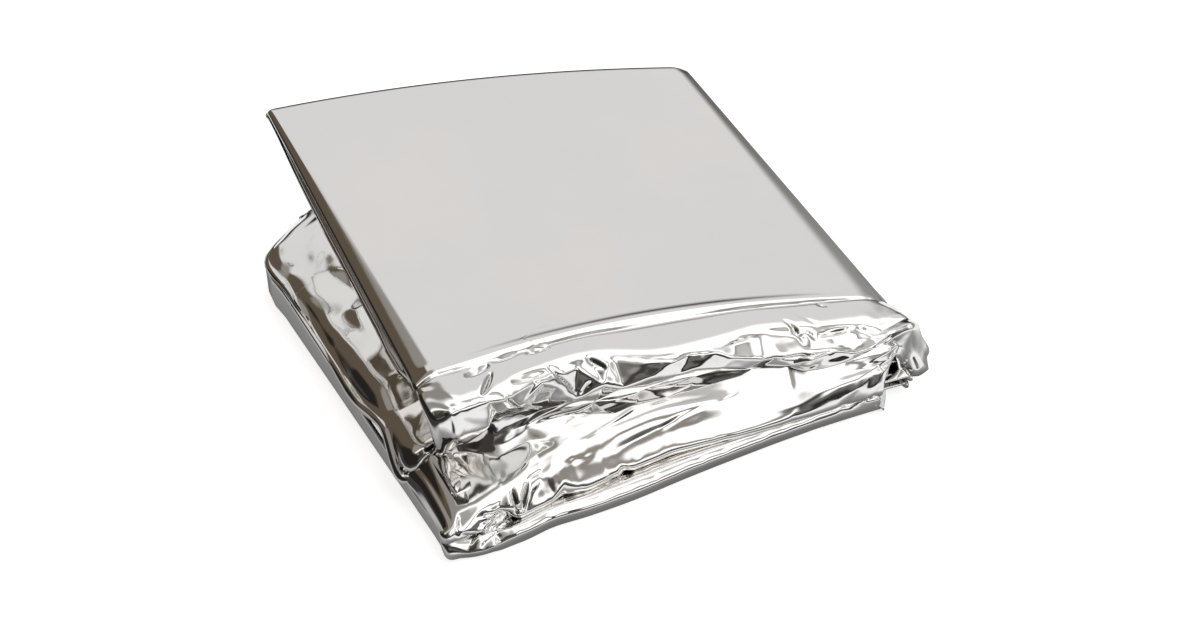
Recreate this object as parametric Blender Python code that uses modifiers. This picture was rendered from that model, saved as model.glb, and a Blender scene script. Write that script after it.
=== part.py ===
"""Folded emergency foil blanket, out of its pouch: one sheet of thin metallised film.

The sheet is folded lengthways into a narrow band many films thick, and the band is laid back and
forth in panels. The last two panels, the leaf, stand a little open at the front crease, like the
cover of a book, so a wedge of air runs in from the back and the left.

Frame: +Z up, +X to the right along the front edge, +Y from the front to the back. The origin is
the middle of the footprint, on the surface that the packet lies on. Metres.
"""

import math

import bpy

MM = 0.001

# ---- Driving dimensions, in millimetres -------------------------------------------------------
PLY = 1.0             # thickness of one panel of the band
LOWER_PANELS = 8      # panels in the closed lower part, the bottom one included
LEAF_SPACING = 2.4    # from the leaf's upper panel to its lower panel, middle to middle
LEAF_OVERHANG = 1.0   # how far the leaf's lower panel shows past the upper one on the left
PACKET_WIDTH = 131.0  # lower part, left to right
FOOTPRINT_MIDDLE = (70.0, 69.9)  # middle of the footprint, the leaf included
INSET = 2.7           # from the outline to where the inner panels' side edges start
EDGE_REACH = 1.3      # width of the strip along each side edge that may be turned in
EDGE_SHARES = (0.55, 0.87, 1.0)  # where the three lines of that strip lie across it
FOLD_STEPS = 4        # straight steps round each inner fold
CROSS_STEPS = 9       # straight steps across the band, between its side edges
RUN_STEPS = 7         # straight steps along each inner panel

# The leaf's upper panel lies in a tilted plane: its height at x = 0, y = 0, and its rise per
# millimetre to the right and to the back.
LEAF_HEIGHT = 33.7
LEAF_RISE_RIGHT = -0.117
LEAF_RISE_BACK = 0.088

# The outline of the leaf's upper panel, between its turned edges (x, y).
LEAF_FRONT = ((5.8, 24.4), (69.0, 27.4), (130.8, 15.6))
LEAF_BACK = ((14.4, 140.2), (77.0, 140.8), (139.6, 131.0))

# The outer panel where it rounds the front, from the bottom up to the leaf. Each row is one line
# across the band: its left end, its middle and its right end (x, y, z), and how far its left side
# edge is turned in (y, z).
FRONT_ROWS = (
    # name           left end           middle              right end            turned in
    ("bottom_edge", (1.6, 4.2, 0.5), (62.0, 3.6, 0.5), (124.0, 4.0, 0.5), (0.6, 5.4)),
    ("roll_under", (1.0, 0.2, 0.8), (62.0, -0.8, 0.8), (120.0, 0.0, 0.8), (1.9, 3.0)),
    ("roll_nose", (0.8, -1.6, 2.5), (62.0, -3.0, 2.5), (117.0, -2.6, 2.7), (2.2, 1.0)),
    ("roll_top", (0.8, -0.8, 4.1), (62.0, -1.6, 4.5), (117.0, -3.0, 4.7), (2.0, 0.4)),
    ("slit", (1.0, 1.2, 4.9), (62.0, 1.4, 5.4), (117.0, -2.6, 5.8), (1.6, 0.0)),
    ("face_foot", (0.8, 0.5, 6.0), (62.0, 0.2, 6.9), (117.6, -3.0, 7.0), (2.0, -0.2)),
    ("face", (0.9, 1.1, 7.8), (62.0, 0.8, 11.0), (118.8, -1.8, 9.6), (2.0, -0.6)),
    ("ridge", (1.6, 2.8, 9.6), (62.0, 4.8, 15.0), (120.4, -0.2, 11.6), (1.4, -1.4)),
    ("slope", (4.4, 8.8, 14.0), (62.0, 10.0, 16.8), (122.0, 0.5, 12.9), (0.4, -1.4)),
    ("valley", (7.6, 15.0, 18.6), (62.0, 15.0, 17.6), (123.8, 1.2, 14.3), (1.0, -0.6)),
    ("bulge_foot", (6.8, 13.6, 20.8), (62.0, 13.0, 20.0), (126.0, 1.4, 15.6), (1.6, 0.0)),
    ("bulge", (6.0, 13.2, 26.6), (63.0, 11.8, 24.6), (129.2, 2.6, 16.6), (2.4, 0.0)),
    ("bulge_top", (5.0, 15.8, 31.4), (64.0, 15.0, 28.0), (132.2, 5.6, 17.4), (1.6, -1.6)),
    ("flat", (5.0, 20.2, 33.9), (66.0, 21.4, 27.9), (132.6, 11.0, 18.4), (0.6, -1.4)),
)

# The right side edge of these rows hangs down past the lower part: how far out, back and up.
RIGHT_HANG = {
    "bulge": (2.0, 0.4, -4.0),
    "bulge_top": (5.6, 0.6, -12.6),
    "flat": (6.0, 0.4, -13.6),
}

# The fold inside the wedge, where the leaf's lower panel turns back over the lower part.
HINGE_ROWS = (
    # name           left end             middle               right end
    ("hinge_roof", (9.0, 24.8, 30.8), (65.0, 23.4, 25.2), (130.4, 15.6, 17.1)),
    ("hinge_brow", (10.0, 20.6, 28.2), (65.0, 19.4, 23.8), (129.6, 12.4, 16.9)),
    ("hinge_nose", (10.6, 18.6, 24.2), (65.0, 18.0, 21.2), (129.0, 10.8, 16.0)),
    ("hinge_chin", (10.6, 20.0, 20.4), (65.0, 19.6, 18.8), (129.0, 12.2, 15.0)),
)

# How high the lower part is, at the middle of its top panel: one row for each distance from the
# front, with the height at the left wall, in the middle and at the right.
STACK_HEIGHT = (
    # y      left   middle  right
    (-4.0, 10.6, 13.8, 11.2),
    (12.0, 13.4, 16.8, 13.8),
    (30.0, 13.0, 16.6, 14.2),
    (70.0, 12.4, 15.4, 13.6),
    (118.0, 12.8, 14.6, 13.0),
    (140.0, 11.0, 13.4, 12.2),
)

# How far forward each inner front fold reaches, from the lowest fold up.
INNER_FOLD_FRONT = (
    # left  middle right
    (7.6, 5.2, 0.6),
    (7.0, 3.4, -0.6),
    (9.0, 7.4, 2.2),
)

# How far back each back fold of the lower part reaches, from the lowest fold up.
INNER_FOLD_BACK = (134.6, 135.6, 136.2)
FREE_END_BACK = 132.0

# The bottom panel's rows, from its free end forward: distance from the front, and height.
BOTTOM_ROWS = (
    (134.0, 0.6),
    (127.0, 0.5),
    (119.0, 0.5),
    (106.0, 0.5),
    (84.0, 0.5),
    (60.0, 0.5),
    (36.0, 0.5),
    (16.0, 0.5),
)

# Where the top panel of the lower part starts behind the hinge: left, middle and right.
TOP_PANEL_START = (32.0, 30.0, 26.0)


def curve3(start, middle, end, t):
    """The parabola through three values at t = 0, 0.5 and 1."""
    return (
        start * (2 * t - 1) * (t - 1)
        + middle * 4 * t * (1 - t)
        + end * t * (2 * t - 1)
    )


def smooth(t):
    """Soft step from 0 to 1."""
    t = min(max(t, 0.0), 1.0)
    return t * t * (3 - 2 * t)


def stack_height(x, y):
    """Height of the top panel of the lower part at (x, y)."""
    across = min(max(x / PACKET_WIDTH, 0.0), 1.0)
    rows = STACK_HEIGHT
    k = 0
    while k < len(rows) - 2 and y > rows[k + 1][0]:
        k += 1
    low, high = rows[k], rows[k + 1]
    mix = smooth((y - low[0]) / (high[0] - low[0]))
    height = (1 - mix) * curve3(*low[1:], across) + mix * curve3(*high[1:], across)
    rolled = 2.0 * max(0.0, 1 - x / 10.0) ** 2
    wave = 0.35 * math.sin(0.085 * x + 0.6) * math.sin(0.071 * y + 0.4)
    return height - rolled + wave * smooth((y - 20.0) / 20.0)


def left_edge(y):
    """Left edge of the lower part: straight, then cut off at the soft back corner."""
    corner = max(0.0, y - 118.0)
    return 0.5 + 18.5 * (corner / 19.5) ** 1.6


def right_edge(y):
    """Right edge of the lower panels, a little uneven."""
    return PACKET_WIDTH - INSET + 0.6 * math.sin(0.05 * y)


FLAT_EDGE = (0.0, 0.0, 0.0)


class Row:
    """One line of points across the band, with its side edges, which may be turned in."""

    def __init__(self, points, turn_left=FLAT_EDGE, turn_right=FLAT_EDGE):
        self.points = points
        self.turn_left = turn_left
        self.turn_right = turn_right

    def edge(self, side, turn):
        """Three points past the row's end: out to the side, and in along the vector `turn`."""
        end = self.points[0] if side < 0 else self.points[-1]
        length = math.hypot(*turn)
        away = [part / length if length else 0.0 for part in turn]
        bends = (min(0.12 * length, 0.35), min(0.5 * length, EDGE_REACH), length)
        points = []
        for share, bend in zip(EDGE_SHARES, bends):
            reach = side * (share * EDGE_REACH + bend * away[0])
            points.append((end[0] + reach, end[1] + bend * away[1], end[2] + bend * away[2]))
        return points

    def all_points(self):
        left = self.edge(-1, self.turn_left)
        right = self.edge(1, self.turn_right)
        return left[::-1] + self.points + right


def across_steps():
    return [k / CROSS_STEPS for k in range(CROSS_STEPS + 1)]


def table_row(name, left, middle, right, turn=(0.0, 0.0)):
    """A row of one of the tables; `turn` is how far its left side edge is turned in (y, z)."""
    points = []
    for t in across_steps():
        points.append(tuple(curve3(left[a], middle[a], right[a], t) for a in range(3)))
    return Row(points, (0.0, *turn), RIGHT_HANG.get(name, FLAT_EDGE))


def lower_point(t, y, level):
    """A point of an inner panel: level counts the panels up from the bottom one."""
    left = left_edge(y) + INSET
    x = left + t * (right_edge(y) - left)
    share = level / (LOWER_PANELS - 1)
    return x, y, PLY / 2 + share * (stack_height(x, y) - PLY / 2)


def lower_panel(level, y_from, y_to, steps):
    """Rows of one run of an inner panel between two folds, the folds' own edges included."""
    rows = []
    for step in range(steps + 1):
        mix = step / steps
        points = []
        for t in across_steps():
            y = curve3(*y_from, t) * (1 - mix) + curve3(*y_to, t) * mix
            points.append(lower_point(t, y, level))
        rows.append(Row(points))
    return rows


def fold_rows(y_ends, level, side):
    """Rows round the fold from the panel `level` to the one under it.

    side is -1 at the front and +1 at the back, and y_ends is where the fold starts.
    """
    rows = []
    for step in range(1, FOLD_STEPS):
        angle = math.pi * step / FOLD_STEPS
        points = []
        for t in across_steps():
            x, y, upper = lower_point(t, curve3(*y_ends, t), level)
            lower = lower_point(t, y, level - 1)[2]
            radius = (upper - lower) / 2
            points.append((
                x,
                y + side * radius * math.sin(angle),
                lower + radius + radius * math.cos(angle),
            ))
        rows.append(Row(points))
    return rows


def bottom_panel():
    """The bottom panel, from its free back end to the front, with its left edge turned up."""
    rows = []
    for y, height in BOTTOM_ROWS:
        wall = 5.6 + 4.4 * smooth(y / 105.0)
        left = left_edge(y) + EDGE_REACH
        right = right_edge(y)
        points = [(left + t * (right - left), y, height) for t in across_steps()]
        rows.append(Row(points, (0.0, 0.0, wall)))
    return rows


def leaf_point(along, across, drop=0.0):
    """A point of the leaf: along is 0 at the front crease and 1 at the back fold."""
    x, y = (
        (1 - along) * curve3(*(spot[a] for spot in LEAF_FRONT), across)
        + along * curve3(*(spot[a] for spot in LEAF_BACK), across)
        for a in range(2)
    )
    return x, y, LEAF_HEIGHT + LEAF_RISE_RIGHT * x + LEAF_RISE_BACK * y - drop


def leaf_rows():
    """The leaf: its upper panel to the back fold, the fold, and its lower panel to the hinge."""
    upper = []
    for along in (0.0, 0.12, 0.3, 0.5, 0.7, 0.9, 1.0):
        points = [leaf_point(along, t) for t in across_steps()]
        turned = (0.0, 0.0, -1.4 * (1 - smooth((along - 0.7) / 0.3)))
        upper.append(Row(points, turned, turned))
    fold = []
    radius = LEAF_SPACING / 2
    for angle in (45, 90, 135):
        lift = radius * math.cos(math.radians(angle)) - radius
        reach = radius * math.sin(math.radians(angle))
        points = []
        for t in across_steps():
            x, y, z = leaf_point(1.0, t)
            points.append((x, y + reach, z + lift))
        fold.append(Row(points))
    lower = []
    for along in (1.0, 0.85, 0.66, 0.45, 0.25, 0.08):
        points = [leaf_point(along, t, LEAF_SPACING) for t in across_steps()]
        x, y, z = points[0]
        points[0] = (x - LEAF_OVERHANG, y, z)
        turned = (0.0, 0.0, -0.8 if 0.15 < along < 0.9 else 0.0)
        lower.append(Row(points, turned, turned))
    return upper + fold + lower


def band_rows():
    """Every row of the band, from the free end under the packet to the free end inside it."""
    rows = bottom_panel()
    rows += [table_row(*row) for row in FRONT_ROWS]
    rows += leaf_rows()
    rows += [table_row(*row) for row in HINGE_ROWS]

    top = LOWER_PANELS - 1
    fold_count = len(INNER_FOLD_FRONT)
    back = (INNER_FOLD_BACK[fold_count - 1],) * 3
    rows += lower_panel(top, TOP_PANEL_START, back, RUN_STEPS)
    for fold in range(fold_count - 1, -1, -1):
        front = INNER_FOLD_FRONT[fold]
        rows += fold_rows(back, top, 1)
        rows += lower_panel(top - 1, back, front, RUN_STEPS)
        rows += fold_rows(front, top - 1, -1)
        back = (INNER_FOLD_BACK[fold - 1] if fold else FREE_END_BACK,) * 3
        rows += lower_panel(top - 2, front, back, RUN_STEPS)
        top -= 2
    return rows


def make_material():
    """Silvery metallised film."""
    material = bpy.data.materials.new("foil")
    material.use_nodes = True
    shader = material.node_tree.nodes["Principled BSDF"]
    shader.inputs["Base Color"].default_value = (0.83, 0.82, 0.80, 1.0)
    shader.inputs["Metallic"].default_value = 1.0
    shader.inputs["Roughness"].default_value = 0.14
    return material


def make_blanket(collection):
    """The folded band as one open surface, given its thickness by Solidify."""
    middle_x, middle_y = FOOTPRINT_MIDDLE
    rows = [row.all_points() for row in band_rows()]
    width = len(rows[0])
    vertices = []
    for row in rows:
        for x, y, z in row:
            vertices.append(((x - middle_x) * MM, (y - middle_y) * MM, z * MM))
    faces = []
    for r in range(len(rows) - 1):
        for c in range(width - 1):
            corner = r * width + c
            faces.append((corner, corner + width, corner + width + 1, corner + 1))
    mesh = bpy.data.meshes.new("foil_blanket")
    mesh.from_pydata(vertices, [], faces)
    mesh.materials.append(make_material())
    mesh.shade_smooth()
    blanket = bpy.data.objects.new("foil_blanket", mesh)
    collection.objects.link(blanket)

    solidify = blanket.modifiers.new("Panel thickness", "SOLIDIFY")
    solidify.thickness = PLY * MM
    solidify.offset = 0.0
    solidify.use_even_offset = True
    return blanket


def main():
    for thing in list(bpy.data.objects):
        bpy.data.objects.remove(thing, do_unlink=True)
    collection = bpy.data.collections.new("folded_foil_blanket")
    bpy.context.scene.collection.children.link(collection)
    make_blanket(collection)


main()
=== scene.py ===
# %% [markdown]
# # Folded emergency foil blanket
# The real thing is one very thin sheet of plastic film, coated with bright metal. It is folded
# lengthways into a band about 131 mm wide and 16 films thick, and the band is laid back and
# forth in ten panels. The two top panels, the leaf, stand a little open, like a book cover.
#
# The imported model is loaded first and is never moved. The film made here lies on its surface.

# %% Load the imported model
import math
import random

import bpy
import numpy as np
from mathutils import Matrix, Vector, geometry


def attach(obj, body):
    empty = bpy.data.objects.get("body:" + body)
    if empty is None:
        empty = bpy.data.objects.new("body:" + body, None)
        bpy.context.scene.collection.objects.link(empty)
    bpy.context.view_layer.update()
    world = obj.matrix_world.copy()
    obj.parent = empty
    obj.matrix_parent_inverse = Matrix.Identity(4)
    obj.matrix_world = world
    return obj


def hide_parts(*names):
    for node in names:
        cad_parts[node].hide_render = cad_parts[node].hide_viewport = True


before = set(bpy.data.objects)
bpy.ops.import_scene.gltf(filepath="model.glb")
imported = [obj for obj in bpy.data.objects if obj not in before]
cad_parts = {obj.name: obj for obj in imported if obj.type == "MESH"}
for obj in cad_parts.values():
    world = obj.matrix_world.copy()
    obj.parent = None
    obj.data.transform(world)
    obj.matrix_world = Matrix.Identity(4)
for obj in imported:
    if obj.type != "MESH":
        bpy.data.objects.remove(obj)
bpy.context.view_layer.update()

# %% [markdown]
# ## Sizes of the band
# All sizes are in millimetres, from the left end of the front bottom line: x to the right, y to
# the back, z up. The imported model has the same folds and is 1 mm thick all along, so the film is
# laid half of that outside the middle of each panel.

# %% Driving sizes
MM = 0.001                     # a millimetre in the scene's metres
BAND_WIDTH = 131.0
HALF_PLY = 0.5
LOWER_PANELS = 8               # the closed lower part, up to its top panel
PACKET_WIDTH = 131.0
INSET = 2.7                    # the lower part's right edge stays this far inside
EDGE_REACH = 1.3               # how far a rounded side edge reaches out
FOOTPRINT_MIDDLE = (70.0, 69.9)    # this spot comes to the middle of the scene

LEAF_SPACING = 2.4             # between the leaf's two panels
LEAF_HEIGHT = 33.7             # of the leaf's plane over the left end of the front line
LEAF_RISE_RIGHT = -0.117       # its slope to the right
LEAF_RISE_BACK = 0.088         # its slope to the back
# left, middle and right of the leaf's front and back lines, x and y
LEAF_FRONT = ((5.0, 24.4), (69.0, 27.4), (131.6, 15.6))
LEAF_BACK = ((13.6, 140.2), (77.0, 140.8), (140.4, 131.0))

# %% [markdown]
# ## The lines of the front
# The outer panel rolls round the front in long uneven folds. A fold is easiest to shape as a few
# lines that run across the packet, each one known at the same stations. The surface is then
# spanned between the lines, in the way that a boat's hull is faired over its frames.

# %% Front lines, from the bottom edge up to the flat strip in front of the crease
STATIONS = (9, 14, 18, 26, 36, 48, 62, 78, 92, 106)     # x
FRONT_LINES = (
    # name, left end, (y, z) at each station, right end, left edge turned in (y, z)
    ("bottom_edge", (1.6, 4.2, 0.5),
     ((3.6, .5), (3.4, .5), (3.2, .5), (3.4, .5), (3.2, .5),
      (3.2, .5), (3.6, .5), (4.0, .5), (4.0, .5), (4.0, .5)),
     (124.0, 4.0, 0.5), (0.6, 5.4)),
    ("roll_under", (1.0, 0.6, 0.7),
     ((-2.0, .6), (-2.0, .6), (-1.9, .6), (-1.0, .6), (-1.7, .6),
      (-1.9, .6), (-1.2, .6), (-0.8, .6), (-0.7, .6), (-1.1, .6)),
     (119.0, -2.2, 0.7), (1.9, 3.0)),
    ("roll_nose", (0.8, -0.4, 1.9),
     ((-2.8, 2.8), (-2.7, 3.2), (-2.6, 3.4), (-1.8, 3.5), (-2.5, 3.5),
      (-2.6, 3.5), (-2.0, 3.5), (-1.8, 3.5), (-1.8, 3.4), (-2.2, 3.2)),
     (117.0, -3.0, 2.8), (2.2, 1.4)),
    ("roll_top", (0.8, 0.4, 4.0),
     ((-1.4, 4.3), (-1.5, 4.5), (-1.4, 4.6), (-0.6, 4.7), (-1.1, 4.8),
      (-1.1, 4.8), (-0.7, 4.8), (-0.7, 4.8), (-1.0, 4.8), (-1.7, 4.7)),
     (117.0, -2.9, 4.7), (2.0, 0.4)),
    ("slit", (1.0, 1.5, 4.5),
     ((2.4, 4.1), (3.0, 3.8), (3.6, 3.7), (4.8, 3.6), (5.2, 3.6),
      (5.8, 3.7), (6.0, 3.9), (4.0, 4.1), (1.6, 4.5), (-0.7, 5.1)),
     (117.0, -2.2, 5.7), (1.6, 0.0)),
    ("face_foot", (0.8, 0.8, 5.6),
     ((0.6, 5.4), (0.7, 5.4), (0.8, 5.5), (1.3, 5.7), (1.3, 5.9),
      (1.9, 6.1), (2.2, 6.2), (0.4, 6.1), (-1.0, 6.1), (-2.4, 6.6)),
     (117.6, -2.9, 6.9), (2.0, -0.2)),
    ("face", (0.9, 1.3, 7.6),
     ((2.2, 8.0), (2.5, 8.6), (2.8, 9.1), (4.0, 10.1), (4.2, 10.4),
      (5.2, 10.4), (5.6, 10.6), (3.4, 9.6), (0.2, 8.8), (-1.9, 9.2)),
     (118.8, -2.0, 9.6), (2.0, -0.6)),
    ("ridge", (2.2, 3.0, 9.0),
     ((3.8, 10.0), (4.5, 10.8), (5.2, 11.4), (6.4, 12.8), (7.2, 13.8),
      (7.4, 13.8), (7.8, 13.8), (5.6, 12.2), (2.2, 11.0), (-0.9, 11.4)),
     (120.4, -0.5, 11.6), (1.4, -1.4)),
    ("slope", (3.2, 16.6, 11.6),
     ((16.0, 12.0), (15.0, 12.7), (14.4, 13.3), (14.2, 14.6), (12.4, 15.6),
      (11.6, 15.8), (11.4, 15.8), (9.2, 14.4), (5.0, 13.0), (1.2, 12.9)),
     (122.0, 0.4, 12.9), (0.4, -1.4)),
    ("valley", (3.2, 25.0, 12.4),
     ((21.5, 14.0), (19.6, 15.2), (17.6, 16.6), (16.6, 17.5), (17.6, 18.2),
      (17.0, 17.8), (15.2, 17.5), (13.8, 17.1), (9.4, 16.2), (4.0, 15.3)),
     (123.8, 1.1, 14.3), (1.0, -0.6)),
    ("bulge_foot", (8.2, 20.6, 14.8),
     ((20.5, 16.0), (22.0, 18.6), (21.4, 22.2), (19.0, 22.2), (16.2, 20.4),
      (13.8, 19.9), (12.8, 19.7), (11.4, 18.9), (7.6, 17.8), (3.2, 16.6)),
     (126.0, 1.3, 15.6), (1.6, 0.0)),
    ("bulge", (6.6, 14.2, 20.6),
     ((12.8, 20.2), (11.6, 21.0), (12.6, 27.6), (13.6, 26.2), (14.2, 25.2),
      (13.2, 24.6), (11.4, 23.6), (10.4, 22.2), (8.2, 20.6), (4.4, 19.0)),
     (129.2, 2.2, 17.0), (2.4, 0.0)),
    ("bulge_top", (5.0, 13.9, 31.6),
     ((11.9, 32.2), (12.0, 31.9), (12.3, 31.8), (14.2, 31.0), (16.0, 30.0),
      (16.4, 28.7), (12.3, 26.7), (11.9, 24.8), (12.6, 23.3), (9.1, 21.3)),
     (132.2, 5.5, 17.9), (1.6, -1.6)),
    ("flat", (5.0, 17.4, 33.1),
     ((13.8, 33.3), (14.0, 33.0), (14.3, 32.8), (16.2, 32.1), (18.0, 31.1),
      (18.8, 29.7), (14.8, 27.7), (14.0, 25.8), (14.8, 24.2), (11.2, 22.3)),
     (132.6, 8.0, 18.7), (0.6, -1.4)),
)
# where the film hangs over at a side: how far out, back and up its edge lies from the line's end
LEFT_HANG = {
    "ridge": (0.8, 0.8, -2.6),
    "slope": (1.6, 0.4, -3.4),
    "valley": (1.8, 0.0, -3.2),
}
RIGHT_HANG = {
    "bulge_foot": (0.7, 0.7, -11.6),
    "bulge": (5.0, -1.6, -13.0),
    "bulge_top": (6.0, -1.0, -12.4),
    "flat": (6.2, 2.5, -10.5),
}
# how far a line rolls down to its left end
SIDE_ROLL = {"face": 0.3, "ridge": 0.8, "slope": 1.6, "valley": 1.8, "bulge_foot": 0.6}
print("front lines:", len(FRONT_LINES))

# %% [markdown]
# ## The folds inside
# The wedge behind the crease ends in a hinge, where the leaf's lower panel turns back over the
# closed lower part. The other panels only show as edges at the sides and the back, so a few
# heights and fold places are enough for them.

# %% Lines of the hinge, and the height of the lower part
HINGE_LINES = (
    # left end             middle               right end
    ((8.0, 25.4, 31.0), (65.0, 23.4, 25.2), (130.4, 15.6, 17.1)),
    ((11.0, 22.6, 28.2), (65.0, 19.4, 23.8), (129.6, 12.4, 16.9)),
    ((14.6, 23.6, 24.2), (65.0, 18.0, 21.2), (129.0, 10.8, 16.0)),
    ((13.6, 26.0, 18.4), (65.0, 19.6, 18.8), (129.0, 12.2, 15.0)),
)
STACK_HEIGHT = (
    # y, and the top panel's height at the left, in the middle and at the right
    (-4.0, 10.6, 13.8, 11.2),
    (12.0, 13.4, 16.8, 13.8),
    (30.0, 13.0, 16.6, 14.2),
    (70.0, 12.4, 15.4, 13.6),
    (118.0, 12.8, 14.6, 13.0),
    (140.0, 11.0, 13.4, 12.2),
)
# y of the inner panels' folds, from the lowest up: left, middle and right of each in front
INNER_FOLD_FRONT = ((7.6, 5.2, 0.6), (7.0, 3.4, -0.6), (9.0, 7.4, 2.2))
INNER_FOLD_BACK = (134.6, 135.6, 136.2)
FREE_END_BACK = 132.0
TOP_PANEL_START = (23.0, 30.0, 26.0)
BOTTOM_ROWS = (
    # y      z
    (134.0, 0.6),
    (127.0, 0.5),
    (119.0, 0.5),
    (106.0, 0.5),
    (84.0, 0.5),
    (60.0, 0.5),
    (36.0, 0.5),
    (16.0, 0.5),
)
print("hinge lines:", len(HINGE_LINES), "and folds under the top panel:", 2 * len(INNER_FOLD_FRONT))

# %% [markdown]
# ## Columns across the band
# The surface is a grid: rows run across the packet, columns run along the band. A subdivided
# plane would give the same grid, but here every spot of the film has to be known, so it is worked
# out in NumPy. The left third is crumpled hardest, so its columns stand closer. The hidden parts
# are smooth, and every third column is enough for them.

# %% Where the columns stand
FINE_PER_COARSE = 3
LEFT_THIRD = 0.36                  # share of the width that has the closer columns
COLUMNS_LEFT, COLUMNS_RIGHT = 126, 156
CORNER_STEPS, DROP_STEPS, RIM_STEPS = 4, 4, 3    # the edge's bend, what hangs from it, its rim
EDGE_COLUMNS = CORNER_STEPS + DROP_STEPS + RIM_STEPS

across = np.concatenate([
    np.linspace(0, LEFT_THIRD, COLUMNS_LEFT, endpoint=False),
    np.linspace(LEFT_THIRD, 1, COLUMNS_RIGHT + 1),
])
column_count = len(across) + 2 * EDGE_COLUMNS
coarse_columns = np.array([
    *range(EDGE_COLUMNS),
    *range(EDGE_COLUMNS, column_count - EDGE_COLUMNS, FINE_PER_COARSE),
    *range(column_count - EDGE_COLUMNS, column_count),
])
print("columns:", column_count, "fine,", len(coarse_columns), "coarse")

# %% [markdown]
# ## Curves
# Blender's curve objects are made to be drawn and bevelled. Here a curve only has to give numbers,
# at all columns at once, so three short functions do: a parabola, a soft step, and a smooth curve
# that goes through every point it is given.

# %% Three kinds of curve
def curve3(start, middle, end, t):
    """The parabola through three values at t = 0, 0.5 and 1."""
    return start * (2 * t - 1) * (t - 1) + middle * 4 * t * (1 - t) + end * t * (2 * t - 1)


def smooth(t):
    """Soft step from 0 to 1."""
    t = np.clip(t, 0.0, 1.0)
    return t * t * (3 - 2 * t)


def through(knots, values, where):
    """A smooth curve through `values` at the places `knots`, read off at `where`."""
    knots, values = np.asarray(knots, float), np.asarray(values, float)
    steps = np.diff(knots)
    slopes = np.diff(values, axis=0) / steps[:, None]
    tangents = np.empty_like(values)
    tangents[0], tangents[-1] = slopes[0], slopes[-1]
    before, after = steps[:-1, None], steps[1:, None]
    tangents[1:-1] = (slopes[:-1] * after + slopes[1:] * before) / (before + after)
    k = np.clip(np.searchsorted(knots, where, side="right") - 1, 0, len(knots) - 2)
    h = steps[k][:, None]
    u = (where - knots[k])[:, None] / h
    return (
        values[k] * (1 + 2 * u) * (1 - u) ** 2
        + values[k + 1] * u * u * (3 - 2 * u)
        + tangents[k] * h * u * (1 - u) ** 2
        - tangents[k + 1] * h * u * u * (1 - u)
    )


# %% [markdown]
# ## Side edges
# The side edges of the band are folds too, sixteen films thick, so they are round. A Bevel
# modifier can't follow an edge that hangs over in one place and stands up in another, so every row
# brings its own edge columns. They bend round a corner and run on along a vector. Each edge is
# turned by a least amount, because columns that fall on one spot would crumple into spikes.

# %% From a row's end out to the side edge
LEAST_TURN = 0.8      # every edge is turned at least this far, mm
CORNER_SHARE = 0.6    # the bend takes up at most this share of the turn


def roll_edge(end, side, turn, size):
    """The points from a row's end out to the side edge, bent along the vector `turn`."""
    turn = np.asarray(turn, float)
    length = float(np.linalg.norm(turn))
    away = turn / length if length else np.array((0.0, 0.0, -1.0))
    length = max(length, LEAST_TURN)
    corner = min(CORNER_SHARE * length, size)
    points = []
    shares = [(k / CORNER_STEPS, 0.0) for k in range(1, CORNER_STEPS + 1)]
    shares += [(1.0, k / DROP_STEPS) for k in range(1, DROP_STEPS + 1)]
    for turned, dropped in shares:
        angle = 0.5 * math.pi * turned
        bend = corner * (1 - math.cos(angle)) + (length - corner) * dropped
        reach = side * (size * math.sin(angle) + bend * away[0])
        points.append(end + np.array((reach, bend * away[1], bend * away[2])))
    return points


def whole_row(points, turn_left=(0, 0, 0), turn_right=(0, 0, 0), size=EDGE_REACH):
    """A row with its two side edges. The rim columns are filled in later."""
    left = roll_edge(points[0], -1, turn_left, size)[::-1]
    right = roll_edge(points[-1], 1, turn_right, size)
    return np.array([left[0]] * RIM_STEPS + left + list(points) + right + [right[-1]] * RIM_STEPS)


# %% [markdown]
# ## Rows of the front
# Each front line is read off at every column. Towards the left the film lies softly over the
# panels under it, so a line rolls down a little there. Where the film hangs over at a side, its
# edge columns hang with it.

# %% Rows of the front
SIDE_ROLL_WIDTH = 3.4   # the lower part's soft left edge


def front_row(name, left, between, right, turn):
    """A row through one of the front lines."""
    x = left[0] + across * (right[0] - left[0])
    knots = (left[0], *STATIONS, right[0])
    line = through(knots, (left[1:], *between, right[1:]), x)
    line[:, 1] -= SIDE_ROLL.get(name, 0.0) * np.clip(1 - (x - left[0]) / SIDE_ROLL_WIDTH, 0, 1) ** 2
    turn_left = LEFT_HANG.get(name, (0, *turn))
    return whole_row(np.column_stack([x, line]), turn_left, RIGHT_HANG.get(name, (0, 0, 0)))


# %% [markdown]
# ## Rows of the leaf
# The raised leaf is two panels with a fold between them at the back. A flat board would look like
# card. So the leaf is a plane spanned between an uneven front and back outline, and its side edges
# are soft: they roll down along a parabola before the round edge begins.

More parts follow.
